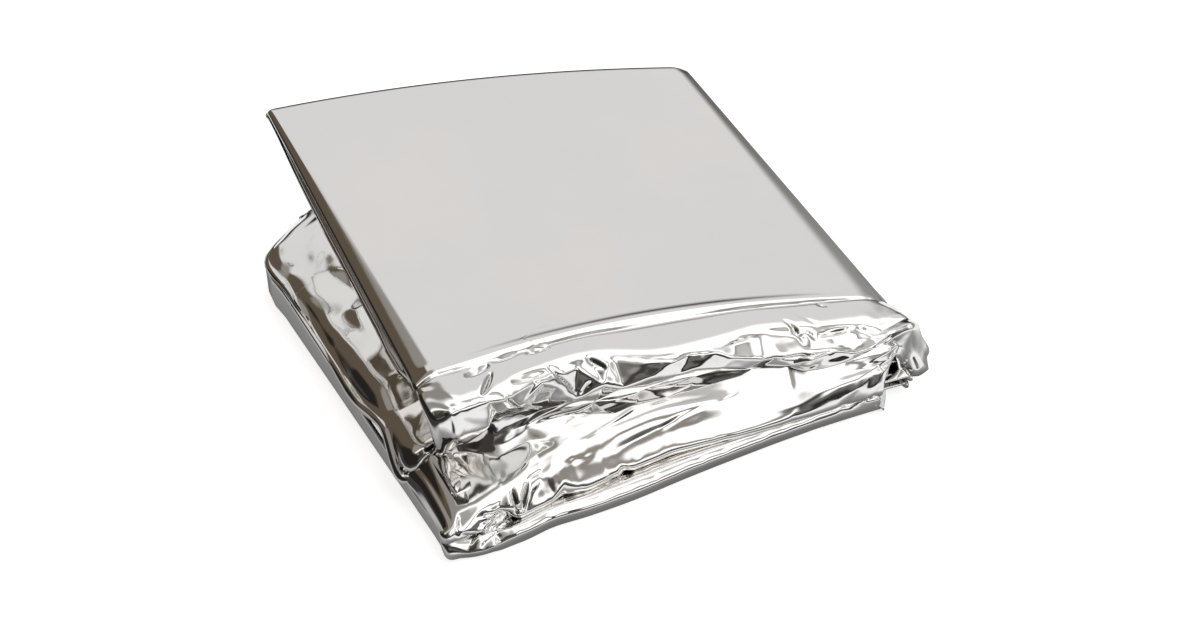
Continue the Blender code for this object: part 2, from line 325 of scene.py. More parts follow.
# %% Rows of the leaf
LEAF_EDGE = 0.5                         # how far the leaf's rounded edges reach out
LEAF_ROLLS = (
    # width of the soft edge at the crease and at the back fold, and its steepest slope
    ((5.6, 0.5), 0.72),                 # left
    ((7.0, 4.0), 0.5),                  # right
)
LEAF_TURN_LEFT = -0.7                   # how far its upper panel's edges turn down
LEAF_TURN_RIGHT = -1.0
LEFT_TURN_END = (0.8, 0.2)              # from here on the left one fades out, over this share
LEAF_CORNER_HANG = (4.5, 2.0, -6.5)     # how the edge falls away at the right end of the crease
CREASE_SHARE = 0.05                     # share of the leaf that the crease takes up
LEAF_SHIFTS = (
    # how far the lower panel is shifted to the left, and over what share from the back fold
    (1.0, 0.3),                         # its left edge stands out
    (1.2, 0.05),                        # its right edge stays behind
)
SHIFT_REACH = 9                         # each shift fades out over a ninth of the width
LOWER_PANEL_TURN = -0.5                 # its edges turn down, but not near its ends
LOWER_PANEL_TURNED = (0.15, 0.8)
# 0 is at the crease and 1 at the back fold
LEAF_UPPER_ROWS = (0.0, 0.02, 0.05, 0.08, 0.14, 0.3, 0.5, 0.7, 0.9, 0.97, 1.0)
LEAF_LOWER_ROWS = (1.0, 0.92, 0.8, 0.62, 0.42, 0.22, 0.08)
FOLD_ANGLES = (45, 90, 135)             # rows round a fold, degrees


def leaf_roll(along, x_from_left, x_from_right):
    """How far the leaf's side edges roll down."""
    roll = 0
    for (widths, slope), inside in zip(LEAF_ROLLS, (x_from_left, x_from_right)):
        width = (1 - along) * widths[0] + along * widths[1]
        roll = roll + 0.5 * width * slope * np.clip(1 - inside / width, 0, 1) ** 2
    return roll


def leaf_points(along, drop=0.0):
    """Points of the leaf: along is 0 at the front crease and 1 at the back fold."""
    front = [curve3(*(spot[a] for spot in LEAF_FRONT), across) for a in range(2)]
    back = [curve3(*(spot[a] for spot in LEAF_BACK), across) for a in range(2)]
    x, y = ((1 - along) * f + along * b for f, b in zip(front, back))
    z = LEAF_HEIGHT + LEAF_RISE_RIGHT * x + LEAF_RISE_BACK * y - drop
    return np.column_stack([x, y, z - leaf_roll(along, x - x[0], x[-1] - x)])


def leaf_upper_rows():
    rows = []
    for along in LEAF_UPPER_ROWS:
        fade = float(1 - smooth((along - LEFT_TURN_END[0]) / LEFT_TURN_END[1]))
        at_crease = float(1 - smooth(along / CREASE_SHARE))
        left = (0, 0, LEAF_TURN_LEFT * fade)
        right = np.array(LEAF_CORNER_HANG) * at_crease + (0, 0, LEAF_TURN_RIGHT)
        rows.append(whole_row(leaf_points(along), left, right, LEAF_EDGE))
    return rows


def leaf_fold_rows():
    """Rows round the leaf's back fold."""
    rows = []
    radius = LEAF_SPACING / 2
    for angle in np.radians(FOLD_ANGLES):
        step = np.array((0.0, radius * math.sin(angle), radius * math.cos(angle) - radius))
        rows.append(whole_row(leaf_points(1.0) + step, size=LEAF_EDGE))
    return rows


def leaf_lower_rows():
    rows = []
    for along in LEAF_LOWER_ROWS:
        points = leaf_points(along, LEAF_SPACING)
        for inside, (shift, share) in zip((across, 1 - across), LEAF_SHIFTS):
            near_edge = np.clip(1 - SHIFT_REACH * inside, 0, 1)
            points[:, 0] -= shift * near_edge * float(smooth((1 - along) / share))
        turned = LOWER_PANEL_TURNED[0] < along < LOWER_PANEL_TURNED[1]
        turn = (0, 0, LOWER_PANEL_TURN if turned else 0.0)
        rows.append(whole_row(points, turn, turn, LEAF_EDGE))
    return rows


# %% [markdown]
# ## Shape of the lower part
# The closed lower part is a thin cushion of panels with air between them. Its back left corner is
# cut off along a soft curve and its top is a little wavy. All its panels share one outline and one
# height, given as functions of the place, so that no panel can cut through the next.

# %% Outline and height of the lower part
TOP_ROLL, TOP_ROLL_WIDTH = 0.8, 8.0           # how far the top sinks to the left, over what width
TOP_WAVE = 0.35                               # height of its waves
WAVE_X, WAVE_Y = (0.085, 0.6), (0.071, 0.4)   # their pace, radians per mm, and their start
WAVE_FROM = 20.0                              # no waves in front of here; full at twice that
LEFT_EDGE = 0.5
CORNER_START, CORNER_LENGTH = 118.0, 19.5     # y where the back left corner starts, its length
CORNER_CUT, CORNER_POWER = 18.5, 1.6          # how far it goes in, and how suddenly
RIGHT_WAVE, RIGHT_PACE = 0.6, 0.05            # the right edge is a little wavy


def stack_height(x, y):
    """The height of the top panel."""
    table = np.array(STACK_HEIGHT)
    heights = np.array([curve3(*row[1:], np.clip(x / PACKET_WIDTH, 0, 1)) for row in table])
    k = np.clip(np.searchsorted(table[:, 0], y) - 1, 0, len(table) - 2)
    share = smooth((y - table[k, 0]) / (table[k + 1, 0] - table[k, 0]))
    columns = np.arange(len(x))
    height = (1 - share) * heights[k, columns] + share * heights[k + 1, columns]
    rolled = TOP_ROLL * np.clip(1 - x / TOP_ROLL_WIDTH, 0, None) ** 2
    wave = TOP_WAVE * np.sin(WAVE_X[0] * x + WAVE_X[1]) * np.sin(WAVE_Y[0] * y + WAVE_Y[1])
    return height - rolled + wave * smooth((y - WAVE_FROM) / WAVE_FROM)


def left_edge(y):
    into_corner = np.clip(y - CORNER_START, 0, None) / CORNER_LENGTH
    return LEFT_EDGE + CORNER_CUT * into_corner ** CORNER_POWER


def right_edge(y):
    return PACKET_WIDTH - INSET + RIGHT_WAVE * np.sin(RIGHT_PACE * y)


# %% [markdown]
# ## Rows of the lower part
# The lower panels lie evenly between the surface under the packet and the top panel, and turn
# round half circles at the front and the back. The top panel's left edge is soft and is pinched
# in two places. The bottom panel's left edge stands up as a low wall along the whole side.

# %% Rows of the lower part
# along the left side, at y: how far the top panel's soft edge rolls down
TOP_ROLL_DROP = ((26, 4.8), (50, 4.2), (70, 3.0), (100, 1.5), (118, 1.0))
# and how high the bottom panel's wall stands
WALL_HEIGHT = (
    (0, 3.4), (6, 3.8), (25, 6.2), (50, 6.9), (70, 8.1), (100, 10.0), (118, 9.6), (134, 5.5),
)
TOP_NOTCHES = ((100.0, 8.0), (38.0, 9.0))    # places where the soft edge is pinched, and how long
TOP_INSET, DEEP_INSET = 1.2, 6.5             # how far the top panel and the others stay inside
TOP_PANEL_TURN = -1.2
PANEL_STEPS = 7                              # from one fold of a panel to the other


def lower_points(y, level):
    """Points of an inner panel at the distances y, level counted up from the bottom panel."""
    shown = float(level == LOWER_PANELS - 1)
    left = left_edge(y) + DEEP_INSET + shown * (TOP_INSET - DEEP_INSET)
    x = left + across * (right_edge(y) - left)
    share = level / (LOWER_PANELS - 1)
    z = HALF_PLY + share * (stack_height(x, y) - HALF_PLY)
    drop = np.interp(y, *zip(*TOP_ROLL_DROP))
    for middle, half_length in TOP_NOTCHES:
        drop = drop * np.clip(np.abs(y - middle) / half_length, 0, 1)
    z -= shown * drop * np.clip(1 - (x - left) / SIDE_ROLL_WIDTH, 0, 1) ** 2
    return np.column_stack([x, y, z])


def lower_panel(level, y_from, y_to):
    """Rows of a panel between two folds, each fold given at the left, middle and right."""
    rows = []
    turn = (0, 0, TOP_PANEL_TURN if level == LOWER_PANELS - 1 else 0.0)
    for share in np.linspace(0, 1, PANEL_STEPS + 1):
        y = curve3(*y_from, across) * (1 - share) + curve3(*y_to, across) * share
        rows.append(whole_row(lower_points(y, level), turn))
    return rows


def fold_rows(y_ends, level, side):
    """Rows round the fold from panel `level` to the one under it; side is -1 at the front."""
    rows = []
    y = curve3(*y_ends, across)
    for angle in np.radians(FOLD_ANGLES):
        upper, lower = lower_points(y, level), lower_points(y, level - 1)
        radius = (upper[:, 2] - lower[:, 2]) / 2
        upper[:, 1] += side * radius * math.sin(angle)
        upper[:, 2] = lower[:, 2] + radius + radius * math.cos(angle)
        rows.append(whole_row(upper))
    return rows


def bottom_rows():
    rows = []
    for y, height in BOTTOM_ROWS:
        wall = float(np.interp(y, *zip(*WALL_HEIGHT)))
        left = left_edge(y) + EDGE_REACH
        x = left + across * (right_edge(y) - left)
        points = np.column_stack([x, np.full_like(x, y), np.full_like(x, height)])
        rows.append(whole_row(points, (0, 0, wall)))
    return rows


def inner_rows():
    """The hinge, then panel after panel down to the free end."""
    rows = [
        whole_row(np.column_stack([curve3(*(end[a] for end in line), across) for a in range(3)]))
        for line in HINGE_LINES
    ]
    top = LOWER_PANELS - 1
    back = (INNER_FOLD_BACK[-1],) * 3
    rows += lower_panel(top, TOP_PANEL_START, back)
    for fold in (2, 1, 0):
        front = INNER_FOLD_FRONT[fold]
        rows += fold_rows(back, top, 1)
        rows += lower_panel(top - 1, back, front)
        rows += fold_rows(front, top - 1, -1)
        back = (INNER_FOLD_BACK[fold - 1] if fold else FREE_END_BACK,) * 3
        rows += lower_panel(top - 2, front, back)
        top -= 2
    return rows


# %% [markdown]
# ## The whole band
# Ten separate panels would need nine seams. The real thing is one sheet, so all the rows are
# strung together in the order in which the band runs: under the packet, up the front, over the
# leaf and back under it, round the hinge, and down through the panels inside.

# %% All rows, from one free end to the other
bottom = bottom_rows()
front = [front_row(*line) for line in FRONT_LINES]
leaf_top, leaf_low = leaf_upper_rows(), leaf_lower_rows()
rows = np.array(bottom + front + leaf_top + leaf_fold_rows() + leaf_low + inner_rows())
first_front = len(bottom)
crease_row = first_front + len(front)
last_fine = crease_row + len(leaf_top) - 1 + len(FOLD_ANGLES)
top_panel_row = last_fine + len(leaf_low) + len(HINGE_LINES)
top_panel_end = top_panel_row + PANEL_STEPS + 1
print("rows:", len(rows), "crease at row", crease_row)

# %% [markdown]
# ## Fairing along the band
# Between the rows the surface is spanned by smooth curves, one for each column. The front and the
# top of the leaf get fine rows, because every crumple there is real relief, and the rest gets
# coarse ones.

# %% Refine the rows
# how far the finer rows stand apart, mm
FRONT_STEP = 0.40
CREASE_STEP, LEAF_STEP, FOLD_STEP = 1.2, 3.4, 0.5
TOP_PANEL_STEP, INNER_STEP = 1.6, 6.5
CREASE_ROWS = 3          # rows of the leaf that lie at its crease
MEASURED_EVERY = 8       # the lengths are measured at one column in so many
LEAST_GAP = 0.3          # rows are never counted as closer than this

gaps = np.linalg.norm(np.diff(rows[:, ::MEASURED_EVERY], axis=0), axis=2).mean(axis=1)
row_place = np.concatenate([[0], np.cumsum(np.maximum(gaps, LEAST_GAP))])


def places(start, end, step):
    """Even places between two rows."""
    length = row_place[end] - row_place[start]
    return np.linspace(row_place[start], row_place[end], max(2, round(length / step) + 1))


def kept_places(start, end, step):
    """Places from row to row, so that every row in between is met exactly."""
    runs = []
    for here, there in zip(row_place[start:end], row_place[start + 1:end + 1]):
        runs.append(np.linspace(here, there, max(1, round((there - here) / step)) + 1)[:-1])
    return np.concatenate(runs + [[row_place[end]]])


def fair(where):
    """The surface at those places along the band, as rows x columns x 3."""
    flat = rows.reshape(len(rows), -1)
    return through(row_place, flat, where).reshape(len(where), rows.shape[1], 3)


fine_places = np.concatenate([
    kept_places(first_front, crease_row, FRONT_STEP)[:-1],
    places(crease_row, crease_row + CREASE_ROWS, CREASE_STEP)[:-1],
    places(crease_row + CREASE_ROWS, last_fine - len(FOLD_ANGLES), LEAF_STEP)[:-1],
    kept_places(last_fine - len(FOLD_ANGLES), last_fine, FOLD_STEP),
])
inner_places = np.concatenate([
    kept_places(last_fine, top_panel_row, INNER_STEP)[:-1],
    kept_places(top_panel_row, top_panel_end, TOP_PANEL_STEP)[:-1],
    kept_places(top_panel_end, len(rows) - 1, INNER_STEP),
])
film = fair(fine_places)
bottom_film = fair(kept_places(0, first_front, INNER_STEP))
inner_film = fair(inner_places)
line_number = np.interp(fine_places, row_place, np.arange(len(rows)) - first_front)
film_s = fine_places - row_place[crease_row]      # along the band, from the crease on
print("fine rows:", len(film), "coarse rows:", len(bottom_film) + len(inner_film))

# %% [markdown]
# ## Where it is crumpled
# The front is crumpled hardest at its two ends and along the bulge, and the tall face between them
# is nearly smooth. Painting that as a weight map would tie it to one mesh. So tables say by front
# line and by station how strong the crumples are (CRUMPLE), where their corners lie (FACET_LINES)
# and how far the film follows the flat pieces between the corners (FACET_SHARE).

# %% Where and how hard the film is crumpled
CRUMPLE_STATIONS = (0, 8, 18, 30, 45, 60, 75, 90, 105, 118, 134)
CRUMPLE = (
    # line, strength at each station
    (0.0, (.3, .2, .1, .1, .1, .1, .1, .1, .1, .1, .1)),
    (1.0, (.4, .3, .2, .1, .05, .05, .05, .05, .05, .1, .1)),
    (2.0, (.5, .5, .3, .1, .05, .05, .05, .05, .05, .1, .1)),
    (3.0, (.2, .7, .5, .2, .1, .1, .1, .1, .1, .1, .1)),
    (4.0, (.1, .7, .8, .4, .2, .2, .2, .2, .1, .1, .1)),
    (5.0, (.1, .8, .9, .8, .4, .15, .1, .1, .1, .1, .2)),
    (6.0, (.3, .9, 1., .6, .15, .08, .08, .08, .08, .1, .3)),
    (7.0, (.3, .25, .3, .2, .1, .05, .06, .08, .08, .15, .3)),
    (8.0, (.3, .15, .15, .1, .08, .06, .08, .1, .15, .3, .4)),
    (9.0, (.6, .6, .5, .4, .3, .3, .3, .3, .4, .5, .7)),
    (10.0, (.9, .9, .8, .6, .5, .4, .4, .5, .6, .8, 3.)),
    (11.0, (1., 1., .8, .6, .6, .5, .5, .6, .8, 1., 3.4)),
    (12.0, (.8, .8, .6, .5, .5, .5, .5, .6, .9, .9, 3.)),
    (12.5, (.5, .5, .3, .3, .3, .25, .25, .3, .4, .5, 2.4)),
    (13.0, (.3, .2, .03, .02, .02, .02, .02, .03, .05, .1, 1.2)),
    (13.6, (.2, .1, .02, .01, .01, .01, .01, .02, .03, .05, .1)),
    (14.0, (.1, .05, .01, .01, .01, .01, .01, .01, .01, .01, 0)),
    (15.0, (.03, .01, .01, .01, .01, .01, .01, .01, .01, .01, 0)),
)
FINE_SHARE = (
    # line, share of that strength for the finer facets
    (0, 0.5), (3, 0.8), (5, 0.8), (8, 0.5), (9, 0.2), (10, 0.25), (11, 0.6), (12, 0.7), (15, 1.0),
)
FACETS = (
    # seed, size across, size along the band, height
    (12, 6.0, 3.4, 0.35),
    (13, 2.6, 1.8, 0.14),
    (14, 14.0, 2.6, 0.2),
)
FACET_LINES = (
    # line, spacing of the corners along it, how far they stray from it, how far in or out
    (0.0, 10, 0.0, 0.0),
    (1.0, 7, 0.1, 0.1),
    (2.0, 6, 0.1, 0.2),
    (3.0, 6, 0.2, 0.5),
    (4.0, 9, 0.1, 0.15),
    (5.0, 9, 0.15, 0.3),
    (6.0, 8, 0.3, 0.9),
    (7.0, 9, 0.2, 0.7),
    (7.6, 13, 0.3, 0.8),
    (8.2, 12, 0.2, 0.8),
    (9.0, 13, 0.1, 0.5),
    (10.0, 13, 0.2, 0.7),
    (10.6, 10, 0.2, 1.0),
    (11.2, 11, 0.3, 1.0),
    (12.0, 15, 0.2, 0.5),
    (12.3, 12, 0.2, 0.6),
    (13.0, 20, 0.1, 0.1),
    (14.0, 20, 0.0, 0.0),
)
FACET_SEED = 5
FACETS_START = -4.0                     # x of the first corners
SPACING_SPREAD = (0.6, 1.4)             # the spacing varies between these shares
TIP_START, TIP_SPACING = 121.0, 0.45    # from here to the right the corners stand closer
LEFT_FADE = 2.5                         # the side edge itself keeps clear of the facets
FACET_SHARE = (
    # line, how far the surface follows the facets at each station
    (0.5, (0, 0, 0, 0, 0, 0, 0, 0, 0, 0, 0)),
    (3.0, (.2, .8, .6, .2, .1, .1, .1, .1, .1, .2, 1.)),
    (5.0, (.3, 1., 1., .5, .1, .05, .05, .05, .1, .3, 1.)),
    (6.2, (.8, .8, .8, .4, .1, .05, .05, .1, .1, .3, 1.)),
    (7.0, (.4, .3, .3, .3, .1, .05, .05, .1, .1, .4, 1.)),
    (8.6, (.3, .15, .2, .2, .15, .1, .1, .15, .2, .5, 1.)),
    (9.2, (.6, .5, .4, .6, .7, .6, .6, .6, .7, .8, 1.)),
    (10.2, (1., .8, .5, .7, .9, .9, .9, .9, .9, 1., 1.)),
    (11.2, (1., 1., 1., 1., 1., 1., 1., 1., 1., 1., 1.)),
    (12.4, (1., 1., 1., 1., 1., 1., 1., 1., 1., 1., 1.)),
    (12.75, (.5, .3, .15, .1, .1, .1, .1, .1, .2, .3, 1.)),
    (13.3, (.1, .05, 0, 0, 0, 0, 0, 0, 0, 0, .8)),
    (14.0, (0, 0, 0, 0, 0, 0, 0, 0, 0, 0, 0)),
)
HANGING_LINES = ((9.2, 0.5), (13.9, 0.4))    # first and last hanging line at the right, and fades
print("lines of facet corners:", len(FACET_LINES), "and finer fields:", len(FACETS))

# %% [markdown]
# ## Places on the film
# Every spot of the film has two coordinates, as if it lay flat: x across the band and s along it,
# counted from the crease. Crumples and creases are laid out in these, so they bend with the
# folds, as a pattern on cloth does.

# %% Coordinates of the fine grid
EDGE_RUN = 3.0                     # how much film a rounded side edge takes, mm
HANG_RUN = (0.0, 1.6, 14.0, 17.0)  # the hanging right edge: start, end of bend, of drop, of rim
HAIR = 1e-6                        # closer than this counts as touching
NOTHING = 1e-9                     # shorter than this counts as no length at all

edge_run = np.linspace(0, EDGE_RUN, EDGE_COLUMNS + 1)[1:]
hang_run = np.concatenate([
    np.linspace(start, end, steps + 1)[1:]
    for start, end, steps in zip(HANG_RUN, HANG_RUN[1:], (CORNER_STEPS, DROP_STEPS, RIM_STEPS))
])
film_x = np.concatenate([-edge_run[::-1], across * BAND_WIDTH, BAND_WIDTH + hang_run])


def film_place(x, line):
    """The spot on the flat film at x on a front line."""
    return np.array((x, np.interp(line, line_number, film_s)))


def read_off(grid, x, s):
    """The value of a grid between its points."""
    r = np.interp(s, film_s, np.arange(len(film_s)))
    c = np.interp(x, film_x, np.arange(len(film_x)))
    r0, c0 = min(int(r), len(film_s) - 2), min(int(c), len(film_x) - 2)
    u, v = r - r0, c - c0
    low = grid[r0, c0] * (1 - v) + grid[r0, c0 + 1] * v
    high = grid[r0 + 1, c0] * (1 - v) + grid[r0 + 1, c0 + 1] * v
    return low * (1 - u) + high * u


def table_over(table):
    """A strength table read off at every point of the fine grid."""
    lines = [row[0] for row in table]
    by_line = np.array([np.interp(film_x, CRUMPLE_STATIONS, row[1]) for row in table])
    place = np.interp(line_number, lines, np.arange(len(lines)))
    low = np.clip(place.astype(int), 0, len(lines) - 2)
    share = (place - low)[:, None]
    return by_line[low] * (1 - share) + by_line[low + 1] * share


def normals(grid):
    """Unit normals of a grid of points, towards the outside of the band."""
    out = np.cross(np.gradient(grid, axis=1), np.gradient(grid, axis=0))
    return out / np.maximum(np.linalg.norm(out, axis=2, keepdims=True), NOTHING)


print("fine grid:", len(film_s), "x", len(film_x), "points")

# %% [markdown]
# ## Facets
# Real crumples are corners with flat pieces between them. Scattered points can be joined to such
# pieces by hand, edge by edge, but Blender has a Delaunay function that finds the triangles least
# like slivers. Each triangle then gives its height to the part of the grid that it covers.

# %% Flat triangles between scattered corners
FIELD_MARGIN = 2      # rows of corners beyond each side of a field
STRAY = 0.45          # how far a corner strays, as a share of their spacing


def spanned(spots, values, x_places, s_places, blank):
    """The values given at scattered spots, spanned in flat triangles over a grid."""
    found = geometry.delaunay_2d_cdt([Vector(spot) for spot in spots], [], [], 0, HAIR)
    values = np.asarray(values, float)
    field = blank.copy()
    for triangle in found[2]:
        a, b, c = (found[0][v] for v in triangle)
        va, vb, vc = (values[found[3][v][0]] for v in triangle)
        columns = np.nonzero((x_places >= min(a.x, b.x, c.x)) & (x_places <= max(a.x, b.x, c.x)))[0]
        lines = np.nonzero((s_places >= min(a.y, b.y, c.y)) & (s_places <= max(a.y, b.y, c.y)))[0]
        area = (b.x - a.x) * (c.y - a.y) - (c.x - a.x) * (b.y - a.y)
        if not len(columns) or not len(lines) or abs(area) < NOTHING:
            continue
        dx = x_places[columns][None, :] - a.x
        ds = s_places[lines][:, None] - a.y
        u = (dx * (c.y - a.y) - ds * (c.x - a.x)) / area
        v = (ds * (b.x - a.x) - dx * (b.y - a.y)) / area
        inside = (u >= -HAIR) & (v >= -HAIR) & (u + v <= 1 + HAIR)
        if field.ndim == 3:
            u, v = u[..., None], v[..., None]
        value = va + u * (vb - va) + v * (vc - va)
        block = field[lines[0]:lines[-1] + 1, columns[0]:columns[-1] + 1]
        block[inside] = value[inside]
    return field


def facet_field(seed, size_x, size_s, x_places, s_places):
    """Heights between -1 and 1 over a grid, flat between scattered points."""
    chance = random.Random(seed)
    spots, heights = [], []
    more = 2 * FIELD_MARGIN + 1
    for j in range(int((s_places[-1] - s_places[0]) / size_s) + more):
        for i in range(int((x_places[-1] - x_places[0]) / size_x) + more):
            shift = FIELD_MARGIN - 0.5 * (j % 2)
            x = (i - shift + chance.uniform(-STRAY, STRAY)) * size_x
            down = (j - FIELD_MARGIN + chance.uniform(-STRAY, STRAY)) * size_s
            spots.append((x, s_places[0] + down))
            heights.append(chance.uniform(-1, 1))
    return spanned(spots, heights, x_places, s_places, np.zeros((len(s_places), len(x_places))))


def facet_fields(table, x_places, s_places):
    """Several fields of facets over one another, in mm."""
    return sum(
        height * facet_field(seed, size_x, size_s, x_places, s_places)
        for seed, size_x, size_s, height in table
    )


# %% [markdown]
# ## Crumples
# Film this thin doesn't bend softly. It stays flat in small facets and breaks sharply between
# them. A noise texture or a cloth simulation makes soft waves, so the front is spanned anew:
# corners are strewn along the front lines, each is pushed a little in or out, and flat triangles
# join them. Three finer fields of facets lie over that.

# %% Crumple the front
strength = table_over(CRUMPLE)
chance = random.Random(FACET_SEED)
out = normals(film)
spots, corners = [], []
for line, spacing, stray, push in FACET_LINES:
    x = FACETS_START - spacing * chance.random()
    while x < film_x[-1] + spacing:
        spot = film_place(x, line + chance.uniform(-stray, stray))
        shift = chance.uniform(-push, push) * read_off(strength, *spot)
        spots.append(tuple(spot))
        corners.append(read_off(film, *spot) + shift * read_off(out, *spot))
        x += spacing * chance.uniform(*SPACING_SPREAD) * (TIP_SPACING if x > TIP_START else 1.0)
faceted = spanned(spots, corners, film_x, film_s, film)
share = table_over(FACET_SHARE) * smooth(film_x / LEFT_FADE)[None, :]
film = film + share[:, :, None] * (faceted - film)
print("facet corners:", len(spots))

fine_share = np.interp(line_number, *zip(*FINE_SHARE))[:, None]
relief = strength * fine_share * facet_fields(FACETS, film_x, film_s)

# the right edge has fine crumples of its own only where it hangs over
(first_line, fade), (last_line, last_fade) = HANGING_LINES
hanging = smooth((line_number - first_line) / fade) * smooth((last_line - line_number) / last_fade)
drop_start = len(film_x) - RIM_STEPS - DROP_STEPS - 1
held = relief[:, drop_start:drop_start + 1]
relief[:, drop_start:] = held + hanging[:, None] * (relief[:, drop_start:] - held)
print("crumples, mm: from", relief.min().round(2), "to", relief.max().round(2))

# %% [markdown]
# ## Creases
# Over the chance crumples come the creases that make this packet the one it is. Each is pressed
# in between two places on the film and is pointed at both ends, as pinched film is, with two
# steep sides that catch the light and the dark. The main crease between leaf and front is a low
# welt with a fine groove ahead of it. All could be sculpted by hand, but a short table is easier
# to read and to change.

# %% Creases one by one
WELT = (
    # x, height, width of the front slope
    (4, 0.35, 1.6),
    (14, 0.60, 2.4),
    (30, 0.85, 2.8),
    (60, 0.90, 2.8),
    (85, 0.85, 2.6),
    (105, 0.60, 2.0),
    (124, 0.20, 0.9),
    (130, 0.00, 0.6),
)
WELT_BACK = 2.0                       # width of its steep back slope
WELT_GROOVE, WELT_DEPTH = 0.9, 0.38   # half width and depth of the groove ahead of it
GROOVE_FROM = 0.1                     # where the welt is lower, there is no groove
GROOVES = (
    # x, line -> x, line, half width, depth
    # pockets pressed in right under the crease
    (10.2, 13.60, 18.2, 13.66, 1.1, 1.8),
    (19.0, 13.70, 26.0, 13.72, 0.9, 0.6),
    (27.8, 13.66, 34.8, 13.68, 1.2, 1.8),
    (110.3, 13.72, 112.6, 13.66, 0.7, 0.7),
    (11.4, 12.95, 17.2, 13.45, 1.0, 1.5),
    # notches and wedges along the lower end of the flat strip
    (20.0, 13.00, 31.5, 12.40, 1.5, 1.0),
    (30.8, 13.05, 36.8, 10.80, 0.9, 1.0),
    (41.5, 12.90, 45.6, 11.70, 1.0, 0.9),
    (74.0, 12.00, 86.9, 12.15, 0.9, 0.6),
    (97.6, 13.25, 100.6, 11.40, 0.8, 1.0),
    (100.8, 12.70, 104.4, 11.60, 0.7, 0.8),
    (101.5, 13.50, 105.7, 12.75, 0.5, 0.4),
    (104.0, 11.90, 115.0, 12.35, 1.2, 0.8),
    (115.0, 12.35, 123.2, 11.40, 1.0, 0.7),
    # the bulge
    (37.2, 10.75, 41.2, 11.30, 0.8, 0.7),
    (17.0, 11.90, 19.4, 10.90, 1.0, 0.9),
    (94.6, 10.60, 108.1, 11.00, 1.2, 0.7),
    (101.5, 9.80, 101.9, 7.31, 0.6, 0.45),
    # streaks on the tall face
    (34.0, 8.25, 55.0, 8.60, 0.7, 0.16),
    (42.0, 7.25, 58.0, 8.00, 0.8, 0.16),
    (64.0, 6.20, 80.0, 7.20, 0.9, 0.18),
    (81.4, 7.20, 87.9, 8.06, 0.8, 0.3),
    (50.0, 6.15, 72.0, 6.40, 0.6, 0.14),
    # the second line under the ridge, and the fan of facets at its left
    (10.6, 6.85, 31.6, 6.60, 0.5, 0.5),
    (31.6, 6.60, 44.9, 6.25, 0.4, 0.2),
    (23.3, 6.50, 20.3, 5.20, 1.2, 1.2),
    (18.0, 6.70, 19.9, 5.20, 1.0, 1.0),
    (8.7, 6.20, 19.6, 5.30, 0.6, 0.5),
    (8.0, 5.80, 18.6, 5.10, 0.5, 0.4),
    # the slit and the bottom roll
    (50.4, 5.30, 55.3, 4.30, 1.2, 1.0),
    (4.8, 3.00, 12.8, 5.05, 0.8, 0.7),
    (6.9, 2.20, 13.4, 3.23, 0.7, 0.6),
    (3.5, 5.50, 9.0, 3.50, 0.6, 0.5),
    (9.5, 4.80, 12.5, 3.00, 0.6, 0.6),
    (103.6, 3.10, 109.3, 3.10, 0.6, 0.3),
)


def groove(x0, line0, x1, line1, half_width, depth):
    """A crease pressed in between two places, pointed at both ends."""
    a, b = film_place(x0, line0), film_place(x1, line1)
    run = b - a
    length = float(np.hypot(*run))
    dx, ds = film_x[None, :] - a[0], film_s[:, None] - a[1]
    along = (dx * run[0] + ds * run[1]) / length ** 2
    aside = np.abs(dx * run[1] - ds * run[0]) / length
    taper = np.sqrt(np.clip(4 * along * (1 - along), 0, 1))
    return -depth * taper * np.clip(1 - aside / (half_width * taper + HAIR), 0, 1)


def welt():
    """The crease itself: a low ridge, steep behind and slow in front, ending in a fine groove."""
    x, height, width = (np.array(column) for column in zip(*WELT))
    height = np.interp(film_x, x, height)[None, :]
    width = np.interp(film_x, x, width)[None, :]
    ahead = -film_s[:, None]
    ridge = height * np.clip(np.where(ahead > 0, 1 - ahead / width, 1 + ahead / WELT_BACK), 0, 1)
    groove_share = np.clip(1 - np.abs(ahead - width) / WELT_GROOVE, 0, 1) * (height > GROOVE_FROM)
    return ridge - WELT_DEPTH * groove_share


relief = relief + welt()
for row in GROOVES:
    relief = relief + groove(*row)
print("creases by hand:", len(GROOVES), "and the welt")

# %% [markdown]
# ## Relief
# The relief pushes the fine grid in and out along its normals, as a Displace modifier would, but
# with heights that are already there as numbers. One light softening then takes the saw teeth off.

# %% Push the relief into the film
FADE_START, FADE_ROWS = 2, 6     # the first fine rows join the flat bottom, so relief fades in
SOFTEN = 0.5                     # share of the way from a point to the middle of its neighbours

fade_in = smooth((np.arange(len(film)) - FADE_START) / FADE_ROWS)[:, None]
film = film + normals(film) * (relief * fade_in)[:, :, None]
body = film[:, RIM_STEPS:-RIM_STEPS]
body[1:-1] += SOFTEN * ((body[:-2] + body[2:]) / 2 - body[1:-1]) * fade_in[1:-1, :, None]
body[:, 1:-1] += SOFTEN * ((body[:, :-2] + body[:, 2:]) / 2 - body[:, 1:-1])
print("film from", film.min(axis=(0, 1)).round(1), "to", film.max(axis=(0, 1)).round(1))

# %% [markdown]
# ## The open wedge
# Under the raised leaf the top panel of the lower part shows. It is the same film, so it gets
# coarse crumples of its own, strongest at the left, where the wedge is widest.

# %% Crumples of the top panel
# x on the film, and how strong the crumples are there
TOP_STATIONS = (-3, 0, 9, 12, 30, 60, 131)
TOP_STRENGTH = (0.2, 0.6, 0.9, 0.8, 0.5, 0.2, 0.1)
TOP_FACETS = (
    # seed, size across, size along the band, height
    (21, 9.0, 18.0, 2.0),
    (22, 4.5, 6.0, 0.25),
)
TOP_FADE_FRONT, TOP_FADE_BACK = 8.0, 4.0     # from its two ends they fade in over this length

